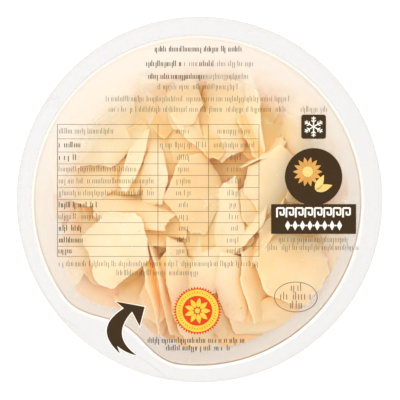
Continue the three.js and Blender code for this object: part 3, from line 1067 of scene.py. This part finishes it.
# Left end, right end and middle height of each row of text, and whether it is bold
text_rows = (
    (-15.8, 14.6, 53.3, True),
    (-20.1, -6.6, 48.1, True),
    (-5.5, -0.9, 48.1, False),
    (0, 4.8, 48.1, True),
    (5.8, 18.8, 48.1, False),
    (-18.1, 1.4, 43.6, True),
    (2.3, 17, 43.6, False),
    (-14.8, 13.3, 39.9, False),
    (-33.1, 31.7, 35.6, False),
    (-32.1, 30.8, 31.9, False),
    (36, 45.1, 31.9, False),
    (-50.5, 20.6, -23, False),
    (-29.4, -0.2, -26.2, False),
    (28.2, 52.4, -14.4, False),
    (24.3, 56.3, -17.2, False),
    (-18.3, 17, -50.2, True),
    (-11.7, 10.4, -52.9, True),
)
table_lines = (26.7, 21.6, 16.9, 12.7, 8.6, 4.3, 0.1, -4.2, -8.2, -12.5, -16.6, -20.2)
table_columns = (-50.5, -14.8, 3.2, 21.1)
# Width of the text in each line of the table, in the left, middle and right column, and whether it is bold
table_text = (
    (19, 5, 11.4, False),
    (7.4, 16, 13.9, True),
    (6.4, 3.9, 4.3, True),
    (27.2, 3.6, 4.3, False),
    (33.4, 4.6, 4.3, False),
    (33.4, 4.6, 4.3, False),
    (13.2, 2.8, 2.8, True),
    (15, 2.8, 2.8, False),
    (7.6, 2.8, 2.8, True),
    (8.2, 3.9, 4.3, True),
    (4.3, 4.6, 4.3, True),
)


def film_height(x, y, layer):
    """Height of the underside of an ink layer over the film."""
    return film_top - film_drop(x, y) + ink_gap + ink_step * layer


def gravure_ink(name, hex_colour, faded_hex):
    """Gravure ink on film: flat and even, a little thinner in soft clouds."""
    material, tree, shader = start_material(name, {"Roughness": 0.45, "Specular IOR Level": 0.15})
    make_cloudy(tree, shader, hex_colour, faded_hex, size=3, detail=2.0)
    return material


def grow_ticks(ink):
    """A tree that sets upright ticks of random heights along lines, with gaps like those between words."""
    sizes = ("Tick pitch", "Tick height", "Ink thickness", "Gap share", "Seed")
    tree, given = start_growth("text_ticks", sizes)
    curve = add_node(tree, "GeometryNodeMeshToCurve", {"Mesh": given.outputs["Geometry"]})
    even = add_node(tree, "GeometryNodeResampleCurve", {
        "Curve": curve.outputs["Curve"],
        "Length": given.outputs["Tick pitch"],
    }, mode="LENGTH")
    dots = add_node(tree, "GeometryNodeCurveToPoints", {"Curve": even.outputs["Curve"]}, mode="EVALUATED")
    gaps = add_node(tree, "FunctionNodeRandomValue", {
        "Probability": given.outputs["Gap share"],
        "Seed": given.outputs["Seed"],
    }, data_type="BOOLEAN")
    words = add_node(tree, "GeometryNodeDeleteGeometry", {
        "Geometry": dots.outputs["Points"],
        "Selection": gaps.outputs[3],
    }, domain="POINT")
    draw = add_node(tree, "FunctionNodeRandomValue", {2: 0.0, 3: 1.0, "Seed": 5}, data_type="FLOAT")
    tall = add_node(tree, "ShaderNodeMath", {0: draw.outputs[1], 1: tall_above}, operation="GREATER_THAN")
    low = add_node(tree, "ShaderNodeMath", {0: draw.outputs[1], 1: low_above}, operation="GREATER_THAN")
    stretch = add_node(tree, "ShaderNodeMath", {
        0: tall.outputs[0],
        1: tall_share,
        2: 1.0,
    }, operation="MULTIPLY_ADD")
    height = add_node(tree, "ShaderNodeMath", {
        0: stretch.outputs[0],
        1: given.outputs["Tick height"],
    }, operation="MULTIPLY")
    lift = add_node(tree, "ShaderNodeMath", {0: tall.outputs[0], 1: tall_share / 2}, operation="MULTIPLY")
    sink = add_node(tree, "ShaderNodeMath", {
        0: low.outputs[0],
        1: -tall_share,
        2: lift.outputs[0],
    }, operation="MULTIPLY_ADD")
    shift = add_node(tree, "ShaderNodeMath", {
        0: sink.outputs[0],
        1: given.outputs["Tick height"],
    }, operation="MULTIPLY")
    sway = add_node(tree, "FunctionNodeRandomValue", {
        2: -tick_sway,
        3: tick_sway,
        "Seed": 9,
    }, data_type="FLOAT")
    slide = add_node(tree, "ShaderNodeMath", {
        0: sway.outputs[1],
        1: given.outputs["Tick pitch"],
    }, operation="MULTIPLY")
    offset = add_node(tree, "ShaderNodeCombineXYZ", {"X": slide.outputs[0], "Y": shift.outputs[0]})
    placed = add_node(tree, "GeometryNodeSetPosition", {
        "Geometry": words.outputs["Geometry"],
        "Offset": offset.outputs["Vector"],
    })
    stroke = add_node(tree, "GeometryNodeInputNamedAttribute", {"Name": "stroke"}, data_type="FLOAT")
    size = add_node(tree, "ShaderNodeCombineXYZ", {
        "X": stroke.outputs["Attribute"],
        "Y": height.outputs[0],
        "Z": given.outputs["Ink thickness"],
    })
    tick = add_node(tree, "GeometryNodeMeshCube", {"Size": (1, 1, 1)})
    ticks = add_node(tree, "GeometryNodeInstanceOnPoints", {
        "Points": placed.outputs["Geometry"],
        "Instance": tick.outputs["Mesh"],
        "Scale": size.outputs["Vector"],
    })
    end_growth(tree, ticks.outputs["Instances"], ink)
    return tree


def text_line(left, right, middle):
    """Points along a row of text on the film, a few millimetres apart."""
    steps = max(2, round((right - left) / text_step))
    along = np.linspace(left, right, steps + 1)
    return [(x, middle, film_height(x, middle, 0) + ink_thickness / 2) for x in along]


def table_rows():
    """The rows of text in the table: flush left in its first column, and centred in the others."""
    rows = []
    for top, bottom, (first, second, third, bold) in zip(table_lines, table_lines[1:], table_text):
        middle = (top + bottom) / 2
        start = table_columns[0] + cell_margin
        rows.append((start, start + first, middle, bold))
        for left, right, width in zip(table_columns[1:], table_columns[2:], (second, third)):
            centre = (left + right) / 2
            rows.append((centre - width / 2, centre + width / 2, middle, False))
    return rows


brown_ink = gravure_ink("gravure_ink_dark_brown", "#3c3020", "#4a3c28")
every_row = [*text_rows, *table_rows()]
row_lines = [text_line(left, right, middle) for left, right, middle, _ in every_row]
row_strokes = []
for row_line, (_, _, _, bold) in zip(row_lines, every_row):
    row_strokes += [(bold_stroke if bold else fine_stroke) * millimetre] * len(row_line)
text_guide = guide_lines("print_text", row_lines, {"stroke": row_strokes})
grown_piece("print_text", text_guide, grow_ticks(brown_ink), {
    "Tick pitch": text_pitch * millimetre,
    "Tick height": text_height * millimetre,
    "Ink thickness": ink_thickness * millimetre,
    "Gap share": text_gaps,
    "Seed": 3,
})


def ellipse(centre, across, up, count):
    """Points round an ellipse, anticlockwise."""
    angles = [2 * math.pi * step / count for step in range(count)]
    return [(centre[0] + across * math.cos(angle), centre[1] + up * math.sin(angle)) for angle in angles]


def ink_prism(outline, layer, number):
    """A filled patch of ink with this outline."""
    count = len(outline)
    low = [(x, y, film_height(x, y, layer)) for x, y in outline]
    high = [(x, y, z + ink_thickness) for x, y, z in low]
    sides = [(at, (at + 1) % count, count + (at + 1) % count, count + at) for at in range(count)]
    faces = [tuple(range(count - 1, -1, -1)), tuple(range(count, 2 * count)), *sides]
    return low + high, faces, number


def ink_disc(centre, radius, count, layer, number):
    """A round patch of ink."""
    return ink_prism(ellipse(centre, radius, radius, count), layer, number)


def ink_bar(start, end, width, layer, number):
    """A straight stroke of ink."""
    along = np.subtract(end, start) / math.dist(start, end)
    across = np.array((-along[1], along[0])) * width / 2
    corners = [start - across, end - across, end + across, start + across]
    return ink_prism([tuple(corner) for corner in corners], layer, number)


def table_bars():
    """The table's frame and rules."""
    left, right = table_columns[0], table_columns[-1]
    bars = [ink_bar((left, height), (right, height), rule_width, 0, 0) for height in table_lines]
    bottom, top = table_lines[-1], table_lines[0]
    return bars + [ink_bar((x, bottom), (x, top), frame_width, 1, 0) for x in table_columns]


rule_ink = gravure_ink("gravure_ink_olive_brown", "#5c4524", "#6b5230")
make_piece("print_table", table_bars(), [rule_ink], smooth=False)


# Keep-cold mark
# A small dark square with round corners and a white snow crystal, as chilled food carries.
mark_low, mark_high = (36.1, 21.6), (44.9, 30.2)
mark_corner = 0.9
corner_steps = 6
crystal_reach = 3.6
arm_width = 0.42
barb_width = 0.34
barb_lean = 50
# How far along the arm each pair of barbs stands and how long it is, both as shares of the reach
barb_pairs = ((0.45, 0.30), (0.72, 0.26))
# The black is a thin coat over warm cheese, so it shows as a very dark brown
black_ink = gravure_ink("gravure_ink_black", "#362710", "#402f18")
white_ink = gravure_ink("gravure_ink_white", "#f6f6f4", "#ffffff")


def rounded_box(low, high, radius):
    """Points round a box with round corners, anticlockwise."""
    corners = (
        ((high[0] - radius, high[1] - radius), 0),
        ((low[0] + radius, high[1] - radius), 90),
        ((low[0] + radius, low[1] + radius), 180),
        ((high[0] - radius, low[1] + radius), 270),
    )
    outline = []
    for centre, turn in corners:
        outline += arc(centre, radius, math.radians(turn), math.radians(turn + 90), corner_steps)
    return outline


def away(place, length, angle):
    """The point at a length and an angle from a place."""
    return place[0] + length * math.cos(angle), place[1] + length * math.sin(angle)


def snow_crystal(centre, reach):
    """Six arms with two pairs of barbs each."""
    strokes = []
    for arm in range(6):
        angle = math.radians(60 * arm + 30)
        strokes.append(ink_bar(centre, away(centre, reach, angle), arm_width, 1, 1))
        for share, barb in barb_pairs:
            root = away(centre, share * reach, angle)
            for lean in (-barb_lean, barb_lean):
                end = away(root, barb * reach, angle + math.radians(lean))
                strokes.append(ink_bar(root, end, barb_width, 2, 1))
    return strokes


mark_centre = ((mark_low[0] + mark_high[0]) / 2, (mark_low[1] + mark_high[1]) / 2)
mark_field = ink_prism(rounded_box(mark_low, mark_high, mark_corner), 0, 0)
mark = [mark_field, *snow_crystal(mark_centre, crystal_reach)]
make_piece("print_keep_cold", mark, [black_ink, white_ink], smooth=False)


# Roundel and banner
# A black disc with a gold flower and two pale leaves, over a black banner with a white key border and a row
# of lozenges.
roundel_centre = (40.5, 8.1)
roundel_radius = 10.2
flower_centre = (38.4, 9.9)
flower_eye = 1.9
leaf_root = (41.2, 3.2)
leaf_turns = (18, 62)
banner_low, banner_high = (25.4, -12.2), (55.6, -1.6)
banner_corner = 0.2
lozenge_share = 0.36
lozenge_dot = 0.3
petal_points = 7
petal_ends = (0.04, 0.97)
petal_fullness = 0.8
# The corners that a stroke of the key passes, as shares of its unit's width and height
key_turns = ((0, 0), (0, 1), (0.74, 1), (0.74, 0.28), (0.36, 0.28), (0.36, 0.62))
key_gap = 0.12
gold_ink = gravure_ink("gravure_ink_gold", "#c98a3c", "#f0c070")
straw_ink = gravure_ink("gravure_ink_straw", "#e8c868", "#f6e09a")


def petal(centre, angle, near, far, width, layer, number):
    """A pointed petal on a ray from the centre."""
    spine = np.linspace(near, far, petal_points)
    half = width / 2 * np.sin(np.pi * np.linspace(*petal_ends, petal_points) ** petal_fullness)
    ray = np.array((math.cos(angle), math.sin(angle)))
    side = np.array((-ray[1], ray[0]))
    right = [tuple(centre + (reach * ray - out * side)) for reach, out in zip(spine, half)]
    left = [tuple(centre + (reach * ray + out * side)) for reach, out in zip(spine, half)]
    return ink_prism(right + left[::-1], layer, number)


def flower(centre, petals, near, far, width, layer, number):
    """A ring of petals."""
    return [petal(centre, 2 * math.pi * at / petals, near, far, width, layer, number) for at in range(petals)]


roundel = [ink_disc(roundel_centre, roundel_radius, 96, 0, 0)]
roundel += flower(flower_centre, petals=14, near=1.7, far=5.2, width=1.5, layer=1, number=1)
roundel += [ink_disc(flower_centre, flower_eye, 32, 2, 2)]
for leaf_turn in leaf_turns:
    angle = math.radians(leaf_turn)
    roundel.append(petal(leaf_root, angle, near=0.2, far=6.2, width=2.6, layer=2, number=2))
make_piece("print_roundel", roundel, [black_ink, gold_ink, straw_ink], smooth=False)


def key_border(left, right, low, high, units, stroke):
    """A running key: each unit climbs, turns over and hooks back in."""
    step = (right - left) / units
    strokes = []
    for unit in range(units):
        begins = unit + key_gap
        places = [(left + step * (begins + along), low + (high - low) * up) for along, up in key_turns]
        for at, (start, end) in enumerate(zip(places, places[1:])):
            strokes.append(ink_bar(start, end, stroke, 1 + at % 2, 1))
    return strokes


def lozenge_row(left, right, middle, up, count):
    """A row of lozenges with a dot between each two."""
    step = (right - left) / count
    parts = []
    for at in range(count):
        centre = (left + step * (at + 0.5), middle)
        parts.append(ink_prism(ellipse(centre, step * lozenge_share, up, 4), 1, 1))
    parts += [ink_disc((left + step * at, middle), lozenge_dot, 10, 1, 1) for at in range(1, count)]
    return parts


banner = [ink_prism(rounded_box(banner_low, banner_high, banner_corner), 0, 0)]
banner += key_border(left=27.1, right=53.9, low=-6.3, high=-3.0, units=8, stroke=0.62)
banner += lozenge_row(left=30, right=51, middle=-9.2, up=1.75, count=8)
make_piece("print_banner", banner, [black_ink, white_ink], smooth=False)


# Daisy seal
# A red rosette with a toothed rim, a yellow band with fine ticks, and a yellow daisy in its red middle.
seal_centre = (-0.8, -39.5)
seal_teeth = 50
tooth_root, tooth_tip = 7.75, 8.6
band_outer, band_inner = 7.55, 5.3
daisy_eye = 0.9
seal_red = gravure_ink("gravure_ink_warm_red", "#d83c12", "#e24a1c")
seal_yellow = gravure_ink("gravure_ink_yellow", "#fcc832", "#ffd75c")
seal_olive = gravure_ink("gravure_ink_ochre", "#a87a20", "#b88a30")


def toothed_rim(centre, inner, outer, teeth):
    """A round outline with pointed teeth."""
    outline = []
    for tooth in range(teeth):
        outline.append(away(centre, inner, 2 * math.pi * tooth / teeth))
        outline.append(away(centre, outer, 2 * math.pi * (tooth + 0.5) / teeth))
    return outline


seal = [ink_prism(toothed_rim(seal_centre, tooth_root, tooth_tip, seal_teeth), 0, 0)]
seal += [ink_disc(seal_centre, band_outer, 96, 1, 1)]
seal += flower(seal_centre, petals=44, near=6.1, far=6.9, width=0.3, layer=2, number=2)
seal += [ink_disc(seal_centre, band_inner, 72, 2, 0)]
seal += flower(seal_centre, petals=9, near=1.3, far=4.6, width=1.7, layer=3, number=1)
seal += [ink_disc(seal_centre, daisy_eye, 24, 3, 1)]
make_piece("print_daisy_seal", seal, [seal_red, seal_yellow, seal_olive], smooth=False)


# Oval stamp
# A thin oval line round three short rows of ticks.
oval_centre = (34.2, -34.6)
oval_across, oval_up, oval_line = 7.6, 5.3, 0.22
oval_points = 96
oval_stroke = 0.26
oval_pitch = 0.95
oval_text_height = 1.9
oval_gaps = 0.1
# Half the width of each row of ticks, and its height over the oval's middle
oval_rows = ((1.6, 3.1), (5.2, 0), (2, -3.1))


def ink_ring(outer, inner, layer, number):
    """A ring of ink between two outlines with as many points."""
    count = len(outer)
    low = [(x, y, film_height(x, y, layer)) for x, y in [*outer, *inner]]
    high = [(x, y, z + ink_thickness) for x, y, z in low]
    faces = []
    for at in range(count):
        beside = (at + 1) % count
        under = (at, beside, count + beside, count + at)
        over = tuple(2 * count + corner for corner in under)
        faces.append((under[0], under[1], over[1], over[0]))
        faces.append((under[2], under[3], over[3], over[2]))
        faces.append(over)
        faces.append((under[1], under[0], under[3], under[2]))
    return low + high, faces, number


grey_ink = gravure_ink("gravure_ink_grey_brown", "#4a4438", "#585244")
oval_outer = ellipse(oval_centre, oval_across + oval_line / 2, oval_up + oval_line / 2, oval_points)
oval_inner = ellipse(oval_centre, oval_across - oval_line / 2, oval_up - oval_line / 2, oval_points)
make_piece("print_oval", [ink_ring(oval_outer, oval_inner, 0, 0)], [grey_ink], smooth=False)
oval_lines = []
for half, up in oval_rows:
    oval_lines.append(text_line(oval_centre[0] - half, oval_centre[0] + half, oval_centre[1] + up))
oval_strokes = [oval_stroke * millimetre] * sum(len(line) for line in oval_lines)
oval_guide = guide_lines("print_oval_text", oval_lines, {"stroke": oval_strokes})
grown_piece("print_oval_text", oval_guide, grow_ticks(grey_ink), {
    "Tick pitch": oval_pitch * millimetre,
    "Tick height": oval_text_height * millimetre,
    "Ink thickness": ink_thickness * millimetre,
    "Gap share": oval_gaps,
    "Seed": 8,
})


# Opening arrow
# A bold black arrow with a thin white edge. It curls up from the peel corner to show how the film comes off.
arrow_edge = 0.35
sharpest = 0.35
barb_left, tip, barb_low = (-29.8, -36.2), (-19.5, -38.1), (-21.3, -45.0)
inner_corner, outer_root = (-24.0, -39.8), (-26.9, -38.6)
tail_left, tail_notch, tail_right = (-28.3, -54.7), (-29.3, -52.0), (-22.2, -55.4)


def bowed(start, end, bow, steps):
    """Points from start to end on an arc that stands out by bow on the right-hand side."""
    chord = np.subtract(end, start)
    length = math.hypot(*chord)
    right_side = np.array((chord[1], -chord[0])) / length
    points = []
    for share in np.linspace(0, 1, steps + 1):
        points.append(tuple(np.add(start, chord * share) + right_side * bow * 4 * share * (1 - share)))
    return points


def widened(outline, edge):
    """An anticlockwise outline moved out by an edge. Sharp corners are cut short."""
    moved = []
    for at, point in enumerate(outline):
        before = np.subtract(point, outline[at - 1])
        after = np.subtract(outline[(at + 1) % len(outline)], point)
        normals = [np.array((leg[1], -leg[0])) / max(math.hypot(*leg), 1e-6) for leg in (before, after)]
        middle = normals[0] + normals[1]
        miter = middle / max(float(middle @ middle) / 2, sharpest)
        moved.append(tuple(np.add(point, miter * edge)))
    return moved


arrow = [tip, barb_left, *bowed(outer_root, tail_left, bow=5.4, steps=20), tail_notch]
arrow += bowed(tail_notch, tail_right, bow=0.5, steps=6)[1:]
arrow += [*bowed(tail_right, inner_corner, bow=-4.5, steps=18)[1:], barb_low]
arrow_parts = [ink_prism(widened(arrow, arrow_edge), 0, 1), ink_prism(arrow, 1, 0)]
make_piece("print_arrow", arrow_parts, [black_ink, white_ink], smooth=False)
